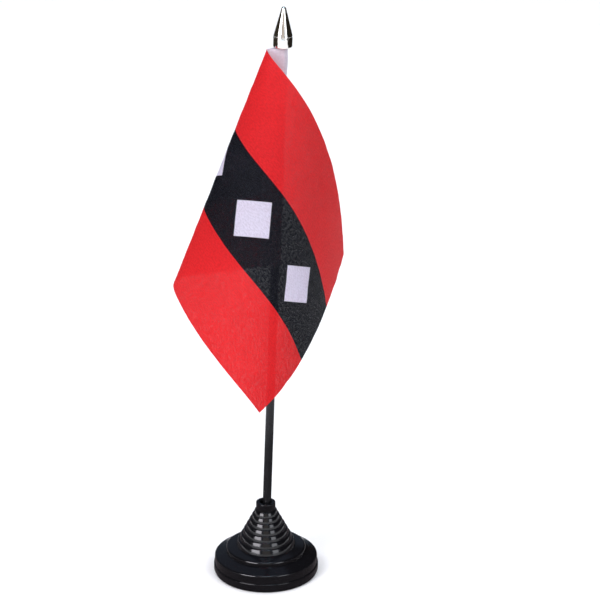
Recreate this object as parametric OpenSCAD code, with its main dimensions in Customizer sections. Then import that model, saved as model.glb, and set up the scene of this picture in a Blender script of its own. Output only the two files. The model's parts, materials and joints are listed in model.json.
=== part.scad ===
// Desk flag stand: a weighted round foot with a stepped cone, a slim pole that
// stands loosely in the foot's socket, a tip on the pole, and a small flag
// that hangs folded from a sleeve round the pole.
// Frame: origin at the centre of the foot's underside, +Z up, the view that
// shows the flag's face looks along +Y. All sizes in millimetres.

/* [Foot] */
// Outer diameter of the lower band, the widest part of the foot
foot_d = 47.4; // [46:0.2:50]
// Height of the bottom cover's lip
cover_h = 1.2; // [1:0.1:1.6]
// Height of the seam between the weight tray and the upper shell
seam_z = 4.2; // [4:0.1:5]
// Height of the upper shell's outer rim
rim_z = 8.5; // [8.3:0.1:9]
// Height of the round step inside the rim
step_z = 12.5; // [12.2:0.1:12.8]
// Height of the whole foot, at the socket's mouth
foot_h = 34.4; // [33:0.2:36]
// Number of rings on the stepped cone
ring_count = 7; // [5:1:9]
// Wall thickness of the upper shell
wall = 1.8; // [1.4:0.1:2]

/* [Socket and pole] */
// Diameter of the socket's bore
socket_d = 5; // [5:0.1:5.2]
// Outer diameter of the collar round the socket
collar_d = 8.8; // [8.4:0.1:9.4]
// Height of the socket's floor
socket_floor_z = 9.5; // [9:0.5:10]
// Diameter of the pole
pole_d = 3.8; // [3.6:0.1:3.8]
// Length of the pole, from its foot to its end inside the tip
pole_length = 248; // [247:0.5:249]
// Angle that the pole leans to one side in its loose socket
lean = 1.98; // [1.9:0.02:2.02]

/* [Pole tip] */
// Height of the pole tip
tip_h = 18; // [17.5:0.5:19]
// Diameter of the tip's collar
tip_d = 8.4; // [8:0.1:8.6]

/* [Flag] */
// Height of the flag, along the pole
hoist = 100; // [90:1:100]
// Length of the flag, from the pole's axis to its free edge
fly = 126; // [120:1:127]
// Thickness of the flag's solid
cloth_t = 0.4; // [0.3:0.1:0.5]
// Thickness of the sleeve's tape round the pole
tape_t = 0.3; // [0.2:0.05:0.35]
// Number of stitches along the sleeve
stitch_count = 25; // [10:1:25]

/* [Hidden] */
$fn = 96;

// Foot, worked out from the outside in
foot_r = foot_d/2;
tray_proud = 0.45;
shell_r = foot_r - tray_proud;
ledge = 5.2;
step_r = shell_r - ledge;
ledge_rise = 1.7;
collar_r = collar_d/2;
socket_r = socket_d/2;
socket_chamfer = 0.45;
rim_round = 0.8;
step_round = 0.9;
cover_round = 0.4;
lip_round = 0.3;
tray_floor_z = cover_h + 1;
tray_r = foot_r - wall;
spigot_gap = 0.05;
spigot_depth = seam_z - tray_floor_z - 0.1;
spigot_r = tray_r - spigot_gap;
shell_inner_r = spigot_r - wall;
ballast_gap = 0.8;
ballast_r = shell_inner_r - ballast_gap;
socket_end_z = socket_floor_z - 2.3;

// Stepped cone: rings that grow a little from the top down. A ring's side leans in
// from side_lean[0] at its bottom to side_lean[1] at side_share of its height, in one
// arc, and a tighter arc rounds it over into its flat top. Both radii are for a ring
// of unit height.
cone_foot_z = step_z + 0.8;
cone_top_z = foot_h - 3.6;
cone_foot_r = 13.4;
ring_growth = 0.04;
side_lean = [8, 22];
side_share = 0.85;
side_arc_r = side_share/(sin(side_lean[1]) - sin(side_lean[0]));
side_in = side_arc_r*(cos(side_lean[0]) - cos(side_lean[1]));
top_arc_r = (1 - side_share)/(1 - sin(side_lean[1]));

// Pole frame: its own Z runs up the pole, with 0 at the pole's foot
pole_r = pole_d/2;
pole_foot = [-0.31, 0, socket_floor_z + 0.1];
tip_z = 250.6;
tip_bottom = (tip_z - pole_foot.z)/cos(lean);
tip_bore_depth = pole_length - tip_bottom;
press = 0.02;

// Flag frame: the sheet's top edge and the way it leaves the pole
flag_z = 250.4;
flag_top = (flag_z - pole_foot.z)/cos(lean);
sleeve_gap = 0.25;
sleeve_r = pole_r + sleeve_gap + tape_t;
leave_angle = 27;
tail_start = sleeve_r - tape_t/2;
tail_end = 7.5;
tail_t = 0.8;
tail_inset = 0.2;
tail_cells = 6;
cloth_start = 4.1;
stitch_u = 5.4;
stitch_r = 0.16;
stitch_pitch = hoist/(stitch_count + 0.5);
stitch_share = 0.7;

// The sheet bends only across straight lines, so it keeps its flat size.
// line_angle: angle of those lines to the weft, by distance from the pole.
line_angle = [[0, 90], [15, 78], [30, 66], [45, 56], [60, 48], [85, 46], [110, 48], [135, 47]];
// bend: curvature across them, in 1/m, by the same distance.
bend = [[0, 0], [4, 0], [8, -9], [20, -9], [28, 23], [45, 23], [60, 40], [80, 29], [105, 11], [140, 4]];
fold_at = 28;
fold_half = 8;
fold_turn = 92;
sheet_step = 1;
sheet_reach = 190;
cells_u = 44;
cells_v = 10;

// Quarter-round corner from the side wall at radius r into the top at height z
function round_edge(r, z, e) = [for (a = [0:22.5:90]) [r - e + e*cos(a), z - e + e*sin(a)]];

// Share of the cone's height and spread above the bottom of ring k, counted from the top
function ring_share(k) = (k + 1)/ring_count*(1 + ring_growth*(k + 1 - ring_count)/2);
function ring_z(k) = cone_top_z - (cone_top_z - cone_foot_z)*ring_share(k);
function ring_r(k) = collar_r + (cone_foot_r - collar_r)*ring_share(k);
// Side of ring k, from its bottom up to its flat top
function ring_points(k) =
    let (r = ring_r(k), z = ring_z(k), h = ring_z(k - 1) - z)
    concat(
        [for (a = [side_lean[0]:7:side_lean[1]])
            [r - h*side_arc_r*(cos(side_lean[0]) - cos(a)),
             z + h*side_arc_r*(sin(a) - sin(side_lean[0]))]],
        [for (a = [side_lean[1] + 17:17:90])
            [r - h*(side_in + top_arc_r*(cos(side_lean[1]) - cos(a))),
             z + h*(side_share + top_arc_r*(sin(a) - sin(side_lean[1])))]]);

module bottom_cover() {
    color([0.04, 0.04, 0.05])
    rotate_extrude()
        polygon([
            [0, 0], [shell_r - cover_round, 0], [shell_r, cover_round],
            [shell_r, cover_h], [0, cover_h]]);
}

module weight_tray() {
    color([0.05, 0.05, 0.06])
    rotate_extrude()
        polygon(concat(
            [[0, cover_h], [foot_r - lip_round, cover_h], [foot_r, cover_h + lip_round]],
            round_edge(foot_r, seam_z, lip_round),
            [[tray_r, seam_z], [tray_r, tray_floor_z], [0, tray_floor_z]]));
}

module ballast_disc() {
    color([0.45, 0.45, 0.47])
    translate([0, 0, tray_floor_z])
        cylinder(h = socket_end_z - tray_floor_z, r = ballast_r);
}

module base_shell() {
    color([0.05, 0.05, 0.06])
    rotate_extrude()
        polygon(concat(
            // outside: spigot, rim, step, stepped cone and collar
            [[shell_inner_r, seam_z - spigot_depth], [spigot_r, seam_z - spigot_depth], [spigot_r, seam_z]],
            [[shell_r, seam_z]],
            round_edge(shell_r, rim_z, rim_round),
            [[step_r, rim_z + ledge_rise]],
            round_edge(step_r, step_z, step_round),
            [for (k = [ring_count - 1:-1:0]) each ring_points(k)],
            [[collar_r, cone_top_z]],
            round_edge(collar_r, foot_h, lip_round),
            // socket bore with its chamfered mouth and closed floor
            [[socket_r + socket_chamfer, foot_h], [socket_r, foot_h - socket_chamfer]],
            [[socket_r, socket_floor_z], [0, socket_floor_z]],
            // inside of the shell, one wall in from the outside
            [[0, socket_end_z], [collar_r, socket_end_z], [collar_r, ring_z(1)]],
            [[cone_foot_r - wall, cone_foot_z - wall], [step_r - wall, step_z - wall]],
            [[step_r - wall, rim_z], [shell_inner_r, rim_z - 0.8*wall]]));
}

module on_pole(h = 0) {
    translate(pole_foot) rotate([0, lean, 0]) translate([0, 0, h]) children();
}

module pole() {
    color([0.06, 0.06, 0.07])
    on_pole() rotate_extrude() polygon([
        [0, 0], [pole_r - lip_round, 0], [pole_r, lip_round],
        [pole_r, pole_length], [0, pole_length]]);
}

module pole_tip() {
    r = tip_d/2;
    base_round = 0.7;
    neck_z = 4.5;
    groove = 0.4;
    end_r = 1.05;
    color([0.8, 0.78, 0.75])
    on_pole(tip_bottom)
        rotate_extrude() polygon(concat(
            [[pole_r - press, 0]],
            [for (a = [-90:15:0]) [r - base_round*(1 - cos(a)), base_round*(1 + sin(a))]],
            // groove between the collar and the cone
            [[r, neck_z - groove/2], [r - groove, neck_z], [r - groove, neck_z + groove]],
            [[r - groove/2, neck_z + 2*groove], [r - groove/2, neck_z + 3*groove]],
            [for (a = [15:15:90]) [end_r*cos(a), tip_h - end_r + end_r*sin(a)]],
            [[0, tip_bore_depth], [pole_r - press, tip_bore_depth]]));
}

// Turns a vector about a unit axis
function turn(v, axis, a) = v*cos(a) + cross(axis, v)*sin(a) + axis*(axis*v)*(1 - cos(a));
// Curvature of the sheet across the line at distance s, in degrees per millimetre
function fold_share(s) = abs(s - fold_at) < fold_half
    ? (1 + cos(180*(s - fold_at)/fold_half))/(2*fold_half) : 0;
function curve(s) = fold_turn*fold_share(s) + lookup(s, bend)*180/PI/1000;
// One line of the sheet: [point at mid height, way along the sheet, way down it]
function next_line(l, s) =
    let (b = lookup(s, line_angle), axis = l[1]*cos(b) + l[2]*sin(b), a = -curve(s)*sheet_step,
         along = turn(l[1], axis, a))
    [l[0] + sheet_step*(l[1] + along)/2, along, turn(l[2], axis, a)];
first_line = [[0, 0, -hoist/2], [-cos(leave_angle), -sin(leave_angle), 0], [0, 0, -1]];
lines = [for (s = 0, l = first_line; s <= sheet_reach;
              l = next_line(l, s + sheet_step/2), s = s + sheet_step) [s, l]];
// Where each line crosses the level that is v below the top edge:
// [distance along the flat sheet, point in space, sheet's normal]
function crossing(line, v) =
    let (s = line[0], l = line[1], b = lookup(s, line_angle), w = (v - hoist/2)/sin(b))
    [s + w*cos(b), l[0] + w*(l[1]*cos(b) + l[2]*sin(b)), cross(l[1], l[2])];
function level(v) = [for (line = lines) crossing(line, v)];
function along_level(row, u, field) =
    [for (i = [0:2]) lookup(u, [for (c = row) [c[0], c[field][i]]])];

// Place at distance u from the pole and v below the top edge, off the sheet's middle by d
function on_sheet(u, v, d) =
    let (row = level(v)) along_level(row, u, 1) + d*along_level(row, u, 2);

// Closed solid that follows the sheet between two distances from the pole
module sheet_solid(from, to, cells, thickness, inset) {
    levels = [for (j = [0:cells_v]) level(inset + (hoist - 2*inset)*j/cells_v)];
    us = [for (i = [0:cells]) from + (to - from)*i/cells];
    function skin(side) = [for (row = levels, u = us)
        along_level(row, u, 1) + side*thickness/2*along_level(row, u, 2)];
    n = cells + 1;
    m = cells_v + 1;
    function quads(o, flip) = [for (j = [0:cells_v - 1], i = [0:cells - 1])
        let (a = o + j*n + i, q = [a, a + 1, a + n + 1, a + n])
        each (flip ? [[q[0], q[1], q[2]], [q[0], q[2], q[3]]]
                   : [[q[0], q[2], q[1]], [q[0], q[3], q[2]]])];
    rim = concat([for (i = [0:n - 1]) i], [for (j = [1:m - 1]) j*n + n - 1],
                 [for (i = [n - 2:-1:0]) (m - 1)*n + i], [for (j = [m - 2:-1:1]) j*n]);
    edges = [for (i = [0:len(rim) - 1])
        let (a = rim[i], b = rim[(i + 1)%len(rim)])
        each [[a, b + n*m, b], [a, a + n*m, b + n*m]]];
    on_pole(flag_top)
        polyhedron(points = concat(skin(-1), skin(1)),
                   faces = concat(quads(0, true), quads(n*m, false), edges));
}

module flag_cloth() {
    color([0.86, 0.1, 0.14]) sheet_solid(cloth_start, fly, cells_u, cloth_t, 0);
}

// The sleeve lies round the pole, with a tail that leaves it along the flag
module hoist_sleeve() {
    color([0.9, 0.88, 0.94])
    difference() {
        union() {
            on_pole(flag_top - hoist) cylinder(h = hoist, r = sleeve_r);
            sheet_solid(tail_start, tail_end, tail_cells, tail_t, tail_inset);
        }
        on_pole(flag_top - hoist - 1) cylinder(h = hoist + 2, r = sleeve_r - tape_t);
    }
}

// One straight stitch between two places
module stitch(from, to) {
    run = to - from;
    translate(from) rotate([0, acos(run.z/norm(run)), atan2(run.y, run.x)])
        cylinder(h = norm(run), r = stitch_r, $fn = 16);
}

module sleeve_stitching() {
    color([0.95, 0.94, 0.97])
    on_pole(flag_top)
        for (i = [0:stitch_count - 1], side = [-1, 1]) {
            v = hoist - (i + 0.4)*stitch_pitch;
            d = side*(tail_t/2 + stitch_r/4);
            stitch(on_sheet(stitch_u, v, d), on_sheet(stitch_u, v - stitch_share*stitch_pitch, d));
        }
}

bottom_cover();
weight_tray();
ballast_disc();
base_shell();
pole();
pole_tip();
hoist_sleeve();
sleeve_stitching();
flag_cloth();
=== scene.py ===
# Desk flag stand: a black moulded foot, a black pole with a chrome tip, and a printed flag that
# hangs folded from a white sleeve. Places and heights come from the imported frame, and the cloth's bends
# repeat the part's. Lengths are in metres, except where a comment says otherwise.
import json
import math
import random

import bpy
import numpy as np
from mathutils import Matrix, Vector


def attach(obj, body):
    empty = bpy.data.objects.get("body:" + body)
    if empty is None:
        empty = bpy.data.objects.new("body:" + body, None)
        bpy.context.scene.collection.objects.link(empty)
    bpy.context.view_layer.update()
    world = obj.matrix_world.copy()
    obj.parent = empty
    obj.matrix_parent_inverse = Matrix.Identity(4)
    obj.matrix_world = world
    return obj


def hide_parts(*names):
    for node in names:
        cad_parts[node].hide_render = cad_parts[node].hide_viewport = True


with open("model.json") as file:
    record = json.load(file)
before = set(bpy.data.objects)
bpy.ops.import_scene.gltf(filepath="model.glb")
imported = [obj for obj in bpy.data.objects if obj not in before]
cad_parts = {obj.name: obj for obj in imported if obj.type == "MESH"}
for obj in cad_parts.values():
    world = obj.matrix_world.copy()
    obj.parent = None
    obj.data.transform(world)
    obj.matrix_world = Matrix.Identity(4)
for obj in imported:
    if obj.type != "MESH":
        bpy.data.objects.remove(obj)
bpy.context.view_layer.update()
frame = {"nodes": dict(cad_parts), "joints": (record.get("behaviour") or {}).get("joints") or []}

mm = 0.001

# ---------------------------------------------------------------- camera

camera_target = Vector((15.5*mm, 0, 133.3*mm))
camera_distance = 1.454
camera_down = math.radians(22.94)
camera_lens = 198  # mm


def make_camera():
    data = bpy.data.cameras.new("camera")
    data.lens = camera_lens
    camera = bpy.data.objects.new("camera", data)
    bpy.context.scene.collection.objects.link(camera)
    back = Vector((0, -math.cos(camera_down), math.sin(camera_down)))
    camera.location = camera_target + camera_distance*back
    camera.rotation_euler = (math.pi/2 - camera_down, 0, 0)
    bpy.context.scene.camera = camera


make_camera()

# ---------------------------------------------------------------- mesh helpers


def add_object(name, points, faces, smooth_angle=40):
    """A mesh object in the row frame, smooth except where its faces meet at more than smooth_angle."""
    mesh = bpy.data.meshes.new(name)
    mesh.from_pydata([tuple(p) for p in points], [], faces)
    mesh.validate()
    mesh.shade_smooth()
    mesh.set_sharp_from_angle(angle=math.radians(smooth_angle))
    obj = bpy.data.objects.new(name, mesh)
    bpy.context.scene.collection.objects.link(obj)
    return obj


def grid_faces(rows, columns, start=0, wrap_columns=False, flip=False):
    """Quads between points that are stored row after row."""
    faces = []
    for i in range(rows - 1):
        for j in range(columns if wrap_columns else columns - 1):
            a = start + i*columns + j
            b = start + i*columns + (j + 1) % columns
            c = b + columns
            d = a + columns
            faces.append((a, d, c, b) if flip else (a, b, c, d))
    return faces


def plane_waves(a, b, rng, count, shortest, longest):
    """Smooth seeded noise of about unit height over the flat coordinates a and b."""
    total = np.zeros_like(a)
    weight = 0
    for _ in range(count):
        length = shortest*(longest/shortest)**rng.random()
        way = rng.uniform(0, math.pi)
        share = length/longest
        phase = rng.uniform(0, 2*math.pi)
        total += share*np.sin(2*math.pi/length*(a*math.cos(way) + b*math.sin(way)) + phase)
        weight += share**2/2
    return total/math.sqrt(weight)


# ---------------------------------------------------------------- the pole's own frame

swing = next(j for j in frame["joints"] if j["name"] == "flag_swing")
pole_foot = np.array(swing["pos_m"], float)
pole_up = np.array(swing["axis"], float)/np.linalg.norm(swing["axis"])
pole_axes = np.column_stack([(pole_up[2], 0, -pole_up[0]), (0, 1, 0), pole_up])


def from_pole(points):
    """Row-frame points of points in the pole's frame, whose Z runs up the pole from its foot."""
    return points @ pole_axes.T + pole_foot


def in_pole_frame(node):
    """The vertices of a CAD node in the pole's frame."""
    vertices = np.array([v.co for v in frame["nodes"][node].data.vertices], float)
    return (vertices - pole_foot) @ pole_axes


sleeve_heights = in_pole_frame("hoist_sleeve")[:, 2]
flag_top = sleeve_heights.max()
hoist = flag_top - sleeve_heights.min()

# ---------------------------------------------------------------- the flag's surface

fly = 126*mm
leave_angle = math.radians(27)
cloth_start = 4.1*mm
cloth_thickness = 0.14*mm
cloth_step = 0.7*mm
crinkle_height = 0.05*mm
crinkle_waves = 48
crinkle_shortest = 1.8*mm
crinkle_longest = 14*mm
crinkle_from = 8*mm
crinkle_rise = 6*mm

# The sheet bends only across straight lines. Each table has distances from the pole first: then the
# lines' angle to the weft in degrees, or the curvature across them in 1/m. Both were fitted and rounded
line_angle = ([0, .015, .03, .045, .06, .085, .11, .135], [90, 78, 66, 56, 48, 46, 48, 47])
bend = ([0, .004, .008, .02, .028, .045, .06, .08, .105, .14], [0, 0, -9, -9, 23, 23, 40, 29, 11, 4])
fold_at = 28*mm
fold_half = 8*mm
fold_turn = math.radians(92)
line_step = 0.5*mm
line_reach = 195*mm

along_first = np.array([-math.cos(leave_angle), -math.sin(leave_angle), 0])
down_first = np.array([0, 0, -1.0])


def turn(vector, axis, angle):
    """The vector turned about a unit axis."""
    return (vector*math.cos(angle) + np.cross(axis, vector)*math.sin(angle)
            + axis*(axis @ vector)*(1 - math.cos(angle)))


def flag_lines():
    """For each straight line: distance along the sheet, angle, mid point, direction and normal."""
    distances = np.arange(0, line_reach, line_step)
    point = np.array([0, 0, flag_top - hoist/2])
    along, down = along_first, down_first
    points, directions, normals, angles = [], [], [], []
    for s in distances:
        angle = math.radians(np.interp(s, *line_angle))
        points.append(point)
        directions.append(along*math.cos(angle) + down*math.sin(angle))
        normals.append(np.cross(along, down))
        angles.append(angle)
        middle = s + line_step/2
        angle = math.radians(np.interp(middle, *line_angle))
        axis = along*math.cos(angle) + down*math.sin(angle)
        curve = np.interp(middle, *bend)
        if abs(middle - fold_at) < fold_half:
            curve += fold_turn*(1 + math.cos(math.pi*(middle - fold_at)/fold_half))/(2*fold_half)
        turned = turn(along, axis, -curve*line_step)
        down = turn(down, axis, -curve*line_step)
        point = point + line_step*(along + turned)/2
        along = turned
    return distances, np.array(angles), np.array(points), np.array(directions), np.array(normals)


sheet_lines = flag_lines()


def on_flag(us, v):
    """Points and normals in the pole's frame, at distances us from the pole and v below the top."""
    distances, angles, points, directions, normals = sheet_lines
    w = (v - hoist/2)/np.sin(angles)
    flat = np.maximum.accumulate(distances + w*np.cos(angles))
    crossings = points + w[:, None]*directions
    place = np.column_stack([np.interp(us, flat, crossings[:, i]) for i in range(3)])
    normal = np.column_stack([np.interp(us, flat, normals[:, i]) for i in range(3)])
    return place, normal/np.linalg.norm(normal, axis=1)[:, None]


def make_flag_sheet():
    """The printed cloth as one closed thin sheet, with its flat coordinates as a UV map."""
    us = np.linspace(cloth_start, fly, round((fly - cloth_start)/cloth_step) + 1)
    vs = np.linspace(0, hoist, round(hoist/cloth_step) + 1)
    flat_u, flat_v = np.meshgrid(us, vs)
    rng = random.Random(4)
    crinkle = plane_waves(flat_u, flat_v, rng, crinkle_waves, crinkle_shortest, crinkle_longest)
    free = np.clip((flat_u - crinkle_from)/crinkle_rise, 0, 1)
    place, normal = [], []
    for v in vs:
        p, n = on_flag(us, v)
        place.append(p)
        normal.append(n)
    place, normal = np.array(place), np.array(normal)
    place = place + (crinkle_height*crinkle*free)[..., None]*normal
    half = cloth_thickness/2
    front = (place + half*normal).reshape(-1, 3)
    back = (place - half*normal).reshape(-1, 3)
    rows, columns = len(vs), len(us)
    size = rows*columns
    faces = grid_faces(rows, columns, flip=True) + grid_faces(rows, columns, size)
    rim = (list(range(columns))
           + [i*columns + columns - 1 for i in range(1, rows)]
           + [(rows - 1)*columns + j for j in range(columns - 2, -1, -1)]
           + [i*columns for i in range(rows - 2, 0, -1)])
    for a, b in zip(rim, rim[1:] + rim[:1]):
        faces.append((a, b, b + size, a + size))
    obj = add_object("printed_flag", from_pole(np.vstack([front, back])), faces, 50)
    flat = np.column_stack([flat_u.ravel()/fly, 1 - flat_v.ravel()/hoist])
    flat = np.vstack([flat, flat])
    layer = obj.data.uv_layers.new(name="flat")
    corners = np.array([l.vertex_index for l in obj.data.loops])
    layer.data.foreach_set("uv", flat[corners].ravel())
    return obj


# ---------------------------------------------------------------- the sleeve and its stitching

tape_thickness = 0.2*mm
tape_end = 7.5*mm
tape_radius = 2.3*mm
tape_gap = 0.2*mm
stitch_at = 5.4*mm
stitch_count = 25
stitch_pitch = hoist/(stitch_count + 0.5)
stitch_radius = 0.16*mm
pucker_height = 0.05*mm
pucker_waves = 24
pucker_shortest = 2.5*mm
pucker_longest = 12*mm
loose_at = 3.4*mm
loose_width = 1.2*mm
loose_height = 0.05*mm


def sleeve_section(round_radius, gap):
    """Middle line of the tape across the pole: in along one face of the flag, round, and out again."""
    tail_points, arc_points, side_points, smoothings = 8, 49, 10, 4
    reach = math.hypot(stitch_at, gap)
    touch = math.acos(round_radius/reach) + math.atan2(gap, stitch_at)
    tail = [(u, gap) for u in np.linspace(tape_end, stitch_at, tail_points)]
    arc = [(round_radius*math.cos(a), round_radius*math.sin(a))
           for a in np.linspace(touch, 2*math.pi - touch, arc_points)]
    side = [(stitch_at + (arc[0][0] - stitch_at)*t, gap + (arc[0][1] - gap)*t)
            for t in np.linspace(0, 1, side_points)[1:-1]]
    far_side = [(x, -y) for x, y in reversed(side)]
    path = np.array(tail + side + arc + far_side + [(x, -y) for x, y in reversed(tail)])
    for _ in range(smoothings):
        path[1:-1] = (path[:-2] + 2*path[1:-1] + path[2:])/4
    return path


def on_sleeve(section, height):
    """Pole-frame points of a section whose X runs out along the cloth and Y towards its face."""
    out = np.maximum(section[:, 0], 0)
    place, normal = on_flag(out, hoist - height)
    return place + (section[:, 0] - out)[:, None]*along_first + section[:, 1:]*normal


def make_sleeve():
    """The folded tape as stacked rings of its outer and inner face, loose between its stitches."""
    heights = np.linspace(0, hoist, 161)
    rng = random.Random(7)
    rings = []
    base = sleeve_section(tape_radius, tape_gap)
    columns = len(base)
    tape_width = 24*mm
    across, up = np.meshgrid(np.linspace(0, 1, columns)*tape_width, heights)
    pucker = pucker_height*plane_waves(across, up, rng, pucker_waves, pucker_shortest, pucker_longest)
    for i, h in enumerate(heights):
        path = base.copy()
        way = np.gradient(path, axis=0)
        way /= np.linalg.norm(way, axis=1)[:, None]
        out = np.column_stack([way[:, 1], -way[:, 0]])
        between = 1 + math.cos(2*math.pi*h/stitch_pitch)
        loose = loose_height*between*np.exp(-((path[:, 0] - loose_at)/loose_width)**2)
        near_tail = np.clip((stitch_at + 0.3*mm - path[:, 0])/(1*mm), 0, 1)
        offset = pucker[i]*near_tail + loose
        outer = path + (offset + tape_thickness/2)[:, None]*out
        inner = path + (offset - tape_thickness/2)[:, None]*out
        rings.append(on_sleeve(np.vstack([outer, inner[::-1]]), h))
    ring = 2*columns
    points = np.vstack(rings)
    faces = grid_faces(len(heights), ring, wrap_columns=True)
    last = (len(heights) - 1)*ring
    for j in range(columns - 1):
        k = ring - 1 - j
        faces.append((j, k, k - 1, j + 1))
        faces.append((last + j, last + j + 1, last + k - 1, last + k))
    return add_object("sleeve_tape_folded", from_pole(points), faces, 50)


def make_stitches():
    """Each stitch is two plies twisted together, which dive into the tape at both ends."""
    rings, sides = 11, 6
    ply_radius = 0.55*stitch_radius
    ply_offset = 0.5*stitch_radius
    tape_face = tape_gap + tape_thickness/2
    highest = tape_face + 0.6*stitch_radius
    points, faces = [], []
    for i in range(stitch_count):
        for side in (-1, 1):
            for ply in (0, math.pi):
                start = len(points)
                for t in np.linspace(0, 1, rings):
                    height = (i + 0.4 + 0.7*t)*stitch_pitch
                    lift = tape_face + stitch_radius*(2.2*math.sin(math.pi*t)**0.5 - 1)
                    twist = ply + 2.5*math.pi*t
                    x = stitch_at + ply_offset*math.cos(twist)
                    y = side*(min(lift, highest) + ply_offset*math.sin(twist))
                    for k in range(sides):
                        a = 2*math.pi*k/sides
                        section = (x + ply_radius*math.cos(a), y + ply_radius*math.sin(a))
                        points.append(on_sleeve(np.array([section]), height)[0])
                faces += grid_faces(rings, sides, start, wrap_columns=True)
                faces.append(tuple(range(start + sides - 1, start - 1, -1)))
                faces.append(tuple(range(start + (rings - 1)*sides, start + rings*sides)))
    return add_object("sleeve_thread", from_pole(np.array(points)), faces, 60)


# ---------------------------------------------------------------- the pole's tip


def lathe(name, profile, place, segments=128, smooth_angle=30):
    """Turns an open profile of (radius, height) pairs that starts and ends on the axis."""
    inner = profile[1:-1]
    points = [(0, 0, profile[0][1])]
    for r, z in inner:
        points += [(r*math.cos(a), r*math.sin(a), z)
                   for a in np.linspace(0, 2*math.pi, segments, endpoint=False)]
    points.append((0, 0, profile[-1][1]))
    faces = grid_faces(len(inner), segments, 1, wrap_columns=True)
    last = 1 + (len(inner) - 1)*segments
    for j in range(segments):
        k = (j + 1) % segments
        faces.append((0, 1 + k, 1 + j))
        faces.append((len(points) - 1, last + j, last + k))
    return add_object(name, place(np.array(points)), faces, smooth_angle)


def arc(centre_r, centre_z, radius, first, last, count=9):
    """Points of a profile on a circle, from one angle to another, in degrees."""
    return [(centre_r + radius*math.cos(a), centre_z + radius*math.sin(a))
            for a in np.radians(np.linspace(first, last, count))]


def make_tip():
    """A rounded collar, a groove, and a cone that ends in a small ball."""
    tip = in_pole_frame("pole_tip")
    bottom, top = tip[:, 2].min(), tip[:, 2].max()
    r = np.hypot(tip[:, 0], tip[:, 1]).max()
    neck = bottom + 4.5*mm
    foot_round = 0.7*mm
    collar_round = 0.3*mm
    groove_round = 0.15*mm
    cone_round = 0.35*mm
    end_round = 1.05*mm
    groove_r = r - 0.4*mm
    profile = [(0, bottom)]
    profile += arc(r - foot_round, bottom + foot_round, foot_round, -90, 0)
    profile += arc(r - collar_round, neck - collar_round, collar_round, 0, 90)
    profile += [(r - 0.45*mm, neck)]
    profile += arc(groove_r, neck + 0.25*mm, groove_round, 240, 120, 7)
    profile += arc(groove_r, neck + 0.8*mm, cone_round, -60, 12, 7)
    profile += arc(0, top - end_round, end_round, 14, 90)
    profile[-1] = (0, top)
    return lathe("tip_chromed", profile, from_pole)


# ---------------------------------------------------------------- materials


class Paint:
    """A material and short ways to add and link its nodes."""

    def __init__(self, name):
        self.material = bpy.data.materials.new(name)
        self.material.use_nodes = True
        self.nodes = self.material.node_tree.nodes
        self.links = self.material.node_tree.links
        self.shader = self.nodes["Principled BSDF"]
        self.output = self.nodes["Material Output"]

    def add(self, kind, **settings):
        node = self.nodes.new("ShaderNode" + kind)
        for key, value in settings.items():
            setattr(node, key, value)
        return node

    def feed(self, node, **values):
        """Sets or links each named input; underscores in the names stand for spaces."""
        for key, value in values.items():
            socket = node.inputs[key.replace("_", " ")]
            if isinstance(value, bpy.types.NodeSocket):
                self.links.new(value, socket)
            else:
                socket.default_value = value
        return node

    def math(self, operation, first, second=None):
        node = self.add("Math", operation=operation)
        for i, value in enumerate((first, second)):
            if isinstance(value, bpy.types.NodeSocket):
                self.links.new(value, node.inputs[i])
            elif value is not None:
                node.inputs[i].default_value = value
        return node.outputs[0]

    def ramp(self, value, low, high, to_low=0.0, to_high=1.0):
        """The value mapped from low..high to to_low..to_high, with its ends held."""
        node = self.add("MapRange")
        node.inputs["From Min"].default_value = low
        node.inputs["From Max"].default_value = high
        node.inputs["To Min"].default_value = to_low
        node.inputs["To Max"].default_value = to_high
        self.links.new(value, node.inputs["Value"])
        return node.outputs["Result"]

    def noise(self, vector, scale, detail=3.0, roughness=0.5):
        node = self.add("TexNoise")
        self.feed(node, Vector=vector, Scale=scale, Detail=detail, Roughness=roughness)
        return node.outputs["Fac"]

    def stretched(self, vector, scales):
        node = self.add("Mapping")
        self.feed(node, Vector=vector, Scale=scales)
        return node.outputs["Vector"]

    def mix_colour(self, share, first, second):
        node = self.add("Mix", data_type="RGBA")
        for socket, value in ((0, share), (6, first), (7, second)):
            if isinstance(value, bpy.types.NodeSocket):
                self.links.new(value, node.inputs[socket])
            else:
                node.inputs[socket].default_value = value
        return node.outputs[2]

    def bump(self, height, distance, strength=1.0, under=None):
        node = self.add("Bump")
        self.feed(node, Height=height, Distance=distance, Strength=strength)
        if under is not None:
            self.links.new(under, node.inputs["Normal"])
        return node.outputs["Normal"]

    def place(self):
        return self.add("TexCoord").outputs["Object"]


def lighter(colour, times):
    """The colour with its three channels multiplied."""
    return tuple(times*c for c in colour[:3]) + (1,)


def moulded_plastic(name, colour, gloss, peel, specular):
    """Black injection-moulded plastic: faint orange peel, handling marks and fine scratches."""
    p = Paint(name)
    place = p.place()
    smudges = p.noise(place, 90, 4)
    peel_noise = p.noise(place, 520, 2)
    hair = p.noise(p.stretched(place, (900, 900, 9000)), 1, 2)
    scratches = p.ramp(hair, 0.66, 0.72)
    tone = p.mix_colour(p.ramp(smudges, 0.35, 0.7), colour, lighter(colour, 1.35))
    rough = p.math("ADD", p.ramp(smudges, 0.3, 0.75, gloss, gloss + 0.08),
                   p.math("MULTIPLY", scratches, 0.12))
    height = p.math("ADD", p.math("MULTIPLY", peel_noise, 0.7), p.math("MULTIPLY", scratches, -0.12))
    p.feed(p.shader, Base_Color=tone, Roughness=rough, Specular_IOR_Level=specular,
           Normal=p.bump(height, peel))
    return p.material


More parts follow.
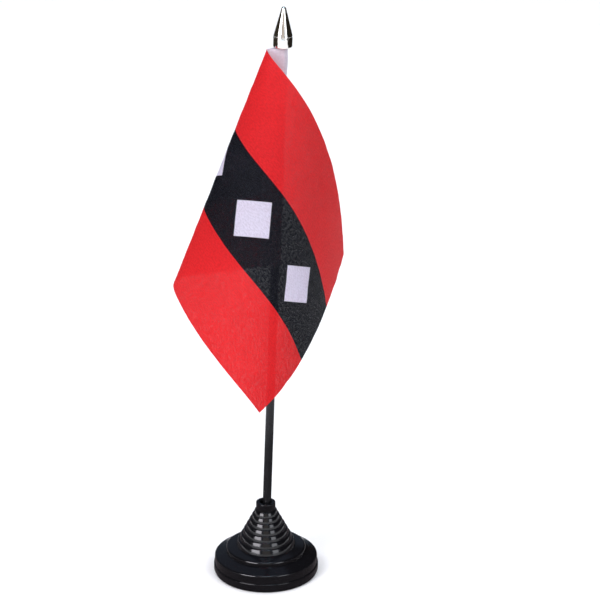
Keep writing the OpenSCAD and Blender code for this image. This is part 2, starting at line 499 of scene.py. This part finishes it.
def extruded_plastic(name, colour):
    """Satin black rod with faint lines along its length."""
    p = Paint(name)
    place = p.place()
    lines = p.noise(p.stretched(place, (2600, 2600, 45)), 1, 3)
    smudges = p.noise(place, 120, 3)
    tone = p.mix_colour(p.ramp(lines, 0.3, 0.75), colour, lighter(colour, 1.5))
    rough = p.ramp(smudges, 0.3, 0.7, 0.2, 0.3)
    p.feed(p.shader, Base_Color=tone, Roughness=rough, Specular_IOR_Level=0.4,
           Normal=p.bump(lines, 0.015*mm))
    return p.material


def chrome(name):
    """Bright plating with fine polishing marks and a little haze."""
    p = Paint(name)
    place = p.place()
    haze = p.noise(place, 300, 4)
    marks = p.noise(p.stretched(place, (700, 700, 5200)), 1, 3)
    tone = p.mix_colour(p.ramp(haze, 0.3, 0.75), (0.84, 0.81, 0.77, 1), (0.77, 0.74, 0.70, 1))
    rough = p.math("ADD", p.ramp(haze, 0.3, 0.75, 0.05, 0.11), p.ramp(marks, 0.55, 0.75, 0, 0.05))
    p.feed(p.shader, Base_Color=tone, Roughness=rough, Metallic=1.0, Normal=p.bump(marks, 0.003*mm))
    return p.material


def turned_steel(name):
    """Grey steel with the rings that turning leaves on a disc."""
    p = Paint(name)
    place = p.place()
    split = p.add("SeparateXYZ")
    p.feed(split, Vector=place)
    x, y = split.outputs[0], split.outputs[1]
    radius = p.math("SQRT", p.math("ADD", p.math("MULTIPLY", x, x), p.math("MULTIPLY", y, y)))
    join = p.add("CombineXYZ")
    p.feed(join, X=radius)
    rings = p.noise(join.outputs[0], 4200, 3)
    tone = p.mix_colour(p.noise(place, 60), (0.42, 0.42, 0.44, 1), (0.34, 0.33, 0.33, 1))
    p.feed(p.shader, Base_Color=tone, Roughness=p.ramp(rings, 0.3, 0.7, 0.28, 0.5), Metallic=1.0,
           Normal=p.bump(rings, 0.02*mm))
    return p.material


# The cloth's print, in millimetres on the flat sheet
red = (0.86, 0.032, 0.038, 1)
black = (0.012, 0.013, 0.019, 1)
white = (0.82, 0.80, 0.91, 1)
thread_pitch = 0.24
lozenge_half = 10.9
lozenge_middle = 60.5
lozenge_spacing = 36.4
print_edge = 0.1


def fabric_weave(p, u, v, pitch):
    """Height of a plain weave whose threads lie pitch millimetres apart."""
    warp = p.math("SINE", p.math("MULTIPLY", u, 2*math.pi/pitch))
    weft = p.math("SINE", p.math("MULTIPLY", v, 2*math.pi/pitch))
    return p.math("MULTIPLY", warp, weft)


def finish_fabric(p, colour, through, gaps, normal, roughness):
    """Joins woven cloth's three ways for light: off it, spread through it, and straight between threads."""
    p.feed(p.shader, Base_Color=colour, Roughness=roughness, Specular_IOR_Level=0.12,
           Normal=normal)
    spread = p.feed(p.add("BsdfTranslucent"), Color=colour)
    clear = p.add("BsdfTransparent")
    solid = p.add("MixShader")
    solid.inputs[0].default_value = through
    p.links.new(p.shader.outputs[0], solid.inputs[1])
    p.links.new(spread.outputs[0], solid.inputs[2])
    both = p.add("MixShader")
    p.links.new(gaps, both.inputs[0])
    p.links.new(solid.outputs[0], both.inputs[1])
    p.links.new(clear.outputs[0], both.inputs[2])
    p.links.new(both.outputs[0], p.output.inputs["Surface"])


def printed_cloth(name):
    """Thin polyester printed red, black and red, with three plain white lozenges on the black."""
    p = Paint(name)
    flat = p.add("UVMap", uv_map="flat").outputs[0]
    split = p.feed(p.add("SeparateXYZ"), Vector=flat)
    u = p.math("MULTIPLY", split.outputs[0], fly/mm)
    v = p.math("MULTIPLY", p.math("SUBTRACT", 1.0, split.outputs[1]), hoist/mm)
    flat_mm = p.add("CombineXYZ")
    p.feed(flat_mm, X=u, Y=v)
    cloth = flat_mm.outputs[0]
    # stripes
    from_middle = p.math("ABSOLUTE", p.math("SUBTRACT", v, hoist/mm/2))
    stripe_half = hoist/mm/6
    stripe = p.ramp(from_middle, stripe_half - print_edge, stripe_half + print_edge, 1, 0)
    # lozenges
    steps = p.math("ROUND", p.math("DIVIDE", p.math("SUBTRACT", u, lozenge_middle), lozenge_spacing))
    steps = p.math("MINIMUM", p.math("MAXIMUM", steps, -1.0), 1.0)
    centre = p.math("ADD", p.math("MULTIPLY", steps, lozenge_spacing), lozenge_middle)
    beside = p.math("ABSOLUTE", p.math("SUBTRACT", u, centre))
    lozenge = p.ramp(p.math("ADD", beside, from_middle),
                     lozenge_half - print_edge, lozenge_half + print_edge, 1, 0)
    bare = p.ramp(u, tape_end/mm - 0.3, tape_end/mm - 0.1, 1, 0)
    # crinkles, threads and dye
    crinkles = p.noise(p.stretched(cloth, (0.8, 1.7, 1)), 1, 4, 0.6)
    slubs = p.noise(p.stretched(cloth, (0.25, 5, 1)), 1, 2)
    dye = p.noise(cloth, 0.08, 3)
    weave = fabric_weave(p, u, v, thread_pitch)
    red_dye = p.mix_colour(dye, red, (0.80, 0.026, 0.032, 1))
    black_dye = p.mix_colour(dye, black, (0.013, 0.013, 0.019, 1))
    colour = p.mix_colour(stripe, red_dye, black_dye)
    colour = p.mix_colour(p.math("MAXIMUM", lozenge, bare), colour, white)
    gaps = p.math("MULTIPLY", p.ramp(crinkles, 0.4, 0.62, 0.03, 0.2),
                  p.ramp(weave, -1, 1, 0.7, 1.3))
    height = p.math("ADD", crinkles, p.math("MULTIPLY", slubs, 0.25))
    normal = p.bump(height, 0.5*mm)
    normal = p.bump(weave, 0.02*mm, 0.5, normal)
    rough = p.ramp(crinkles, 0.3, 0.7, 0.46, 0.6)
    finish_fabric(p, colour, 0.5, gaps, normal, rough)
    return p.material


def woven_tape(name):
    """White polyester tape with a fine plain weave. Its lavender white is tinted pink in part, and that
    pink is painted red light thrown onto it from the flag.
    """
    p = Paint(name)
    place = p.place()
    scaled = p.stretched(place, (1000, 1000, 1000))
    split = p.feed(p.add("SeparateXYZ"), Vector=scaled)
    across = p.math("ADD", split.outputs[0], split.outputs[1])
    weave = fabric_weave(p, across, split.outputs[2], 0.3)
    fuzz = p.noise(scaled, 1.2, 4)
    # Both tones carry a pink tint on top of the tape's lavender white: painted red light bounced from the
    # flag.
    tone = p.mix_colour(fuzz, (0.94, 0.89, 0.97, 1), (0.89, 0.83, 0.92, 1))
    gaps = p.ramp(fuzz, 0.3, 0.7, 0.06, 0.14)
    normal = p.bump(p.math("ADD", weave, fuzz), 0.03*mm)
    finish_fabric(p, tone, 0.3, gaps, normal, p.ramp(fuzz, 0.3, 0.7, 0.6, 0.75))
    return p.material


def sewing_thread(name):
    """White polyester thread with a soft lustre."""
    p = Paint(name)
    fibres = p.noise(p.stretched(p.place(), (9000, 9000, 2500)), 1, 2)
    tone = p.mix_colour(fibres, (0.86, 0.85, 0.90, 1), (0.70, 0.69, 0.76, 1))
    p.feed(p.shader, Base_Color=tone, Roughness=p.ramp(fibres, 0.3, 0.7, 0.4, 0.55), Sheen_Weight=0.2,
           Normal=p.bump(fibres, 0.02*mm))
    return p.material


def shade_by_area(mesh, limit=35):
    """Keeps flat faces flat and rounds only the narrow ones between them: a corner's normal is
    the mean, by area, of the faces round it that turn less than limit from its own."""

    def spot(i):
        return tuple(round(c, 6) for c in mesh.vertices[i].co)

    around = {}
    for face in mesh.polygons:
        for i in face.vertices:
            around.setdefault(spot(i), []).append(face)
    least = math.cos(math.radians(limit))
    normals = []
    for face in mesh.polygons:
        own = face.normal
        for i in face.vertices:
            near = around[spot(i)]
            total = sum((f.area*f.normal for f in near if f.normal.dot(own) > least), 1e-12*own)
            normals.append(total.normalized())
    mesh.shade_smooth()
    mesh.normals_split_custom_set(normals)


def paint(obj, material):
    if not obj.material_slots:
        obj.data.materials.append(material)
    for place in obj.material_slots:
        place.material = material


# ---------------------------------------------------------------- pieces on their bodies

gloss_black = moulded_plastic("foot_gloss_black", (0.003, 0.003, 0.004, 1), 0.1, 0.02*mm, 0.5)
pole_black = extruded_plastic("pole_satin_black", (0.006, 0.006, 0.007, 1))
for node in ("bottom_cover", "weight_tray", "base_shell"):
    paint(frame["nodes"][node], gloss_black)
paint(frame["nodes"]["ballast_disc"], turned_steel("ballast_steel"))
paint(frame["nodes"]["pole"], pole_black)
for node in frame["nodes"].values():
    shade_by_area(node.data)


def stands_for(obj, material, body, node):
    paint(obj, material)
    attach(obj, body)
    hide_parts(node)


tip = make_tip()
stands_for(tip, chrome("tip_chrome"), "pole", "pole_tip")
sleeve = make_sleeve()
stands_for(sleeve, woven_tape("sleeve_tape"), "flag", "hoist_sleeve")
stitches = make_stitches()
stands_for(stitches, sewing_thread("sleeve_thread"), "flag", "sleeve_stitching")
flag = make_flag_sheet()
stands_for(flag, printed_cloth("flag_print"), "flag", "flag_cloth")

# ---------------------------------------------------------------- floor, world and lights


light_target = Vector((0, 0, 0.13))
strip_distance = 1.3


def make_floor():
    """White paper a hair below the foot, so that the two never share a plane."""
    size = 12
    points = [(-size, -size), (size, -size), (size, size), (-size, size)]
    floor = add_object("floor", [(x, y, -0.05*mm) for x, y in points], [(0, 1, 2, 3)])
    p = Paint("floor_paper")
    grain = p.noise(p.place(), 700, 3)
    tone = p.mix_colour(grain, (0.91, 0.91, 0.91, 1), (0.89, 0.89, 0.89, 1))
    p.feed(p.shader, Base_Color=tone, Roughness=0.9, Specular_IOR_Level=0.1)
    paint(floor, p.material)


def make_world():
    """A room that is darker at the horizon than overhead."""
    world = bpy.data.worlds.new("studio")
    world.use_nodes = True
    nodes, links = world.node_tree.nodes, world.node_tree.links
    split = nodes.new("ShaderNodeSeparateXYZ")
    links.new(nodes.new("ShaderNodeTexCoord").outputs["Generated"], split.inputs[0])
    ramp = nodes.new("ShaderNodeValToRGB")
    ramp.color_ramp.elements[0].position = 0.1
    ramp.color_ramp.elements[0].color = (0.08, 0.10, 0.13, 1)
    ramp.color_ramp.elements[1].position = 0.7
    ramp.color_ramp.elements[1].color = (0.13, 0.15, 0.20, 1)
    links.new(split.outputs[2], ramp.inputs[0])
    links.new(ramp.outputs[0], nodes["Background"].inputs["Color"])
    bpy.context.scene.world = world


def towards(azimuth, elevation):
    """Unit vector from the object. Azimuth 0 is the camera's side and 90 the right."""
    a, e = math.radians(azimuth), math.radians(elevation)
    return Vector((math.sin(a)*math.cos(e), -math.cos(a)*math.cos(e), math.sin(e)))


def add_light(name, kind, watts, colour, azimuth, elevation, distance):
    data = bpy.data.lights.new(name, kind)
    data.energy = watts
    data.color = colour
    light = bpy.data.objects.new(name, data)
    bpy.context.scene.collection.objects.link(light)
    way = towards(azimuth, elevation)
    light.location = light_target + distance*way
    light.rotation_euler = way.to_track_quat("Z", "Y").to_euler()
    light.visible_camera = False
    light.visible_glossy = False
    return data


def strip_box(name, azimuth, elevation, width, height, watts, colour):
    data = add_light(name, "AREA", watts, colour, azimuth, elevation, strip_distance)
    data.shape = "RECTANGLE"
    data.size, data.size_y = width, height


def reflector_card(name, tone, azimuth, width, distance, bottom, top):
    """An upright card that only reflections see, for the light and dark bands in gloss and chrome."""
    a = math.radians(azimuth)
    middle = Vector((math.sin(a), -math.cos(a), 0))*distance
    side = Vector((math.cos(a), math.sin(a), 0))*width/2
    points = [middle - side + Vector((0, 0, bottom)), middle + side + Vector((0, 0, bottom)),
              middle + side + Vector((0, 0, top)), middle - side + Vector((0, 0, top))]
    only_reflected(add_object(name, points, [(0, 1, 2, 3)]), tone)


def ceiling_card(name, tone, width, near, far, height):
    """A level card overhead that only reflections see, from near to far on the camera's side."""
    points = [(-width/2, -far, height), (width/2, -far, height),
              (width/2, -near, height), (-width/2, -near, height)]
    only_reflected(add_object(name, points, [(0, 1, 2, 3)]), tone)


def only_reflected(card, tone):
    """Makes a card glow in its tone, hidden from everything but reflections."""
    p = Paint(card.name + "_card")
    mottle = p.noise(p.place(), 6, 3)
    colour = p.mix_colour(mottle, tone, lighter(tone, 1.3))
    glow = p.feed(p.add("Emission"), Color=colour, Strength=1.0)
    p.links.new(glow.outputs[0], p.output.inputs["Surface"])
    paint(card, p.material)
    card.visible_camera = False
    card.visible_diffuse = False
    card.visible_transmission = False
    card.visible_shadow = False


def dark_table():
    """A dark disc round the foot that only reflections see, for the foot's upright faces to mirror."""
    count, radius, height = 48, 0.16, 0.3*mm
    points = [(radius*math.cos(a), radius*math.sin(a), height)
              for a in np.linspace(0, 2*math.pi, count, endpoint=False)]
    only_reflected(add_object("dark_table", points, [tuple(range(count))]), (0.14, 0.12, 0.13, 1))


make_floor()
make_world()
overhead = add_light("overhead", "SUN", 2.97, (0.97, 0.98, 1.0), 15, 80, 2)
overhead.angle = math.radians(85)
strip_box("left_strip", -39, 31, 0.34, 1.4, 10, (1.0, 0.98, 1.0))
strip_box("right_strip", 42, 34, 0.2, 1.0, 2.6, (0.96, 0.98, 1.0))
reflector_card("left_card", (0.03, 0.026, 0.02, 1), -100, 0.75, 0.42, 0.005, 1.0)
reflector_card("right_card", (0.018, 0.015, 0.012, 1), 112, 1.15, 0.42, 0.005, 1.0)
reflector_card("left_glow", (7.5, 7.3, 7.8, 1), -40, 0.74, 1.28, 0.03, 0.95)
reflector_card("right_glow", (3.0, 3.1, 3.3, 1), 38, 0.5, 1.28, 0.03, 0.95)
reflector_card("front_glow", (0.55, 0.5, 0.46, 1), 2, 0.7, 1.3, 0.002, 0.95)
ceiling_card("window_glow", (2.6, 3.6, 4.4, 1), 0.45, -0.15, 0.9, 1.3)
dark_table()
bpy.context.scene.view_settings.view_transform = "Standard"
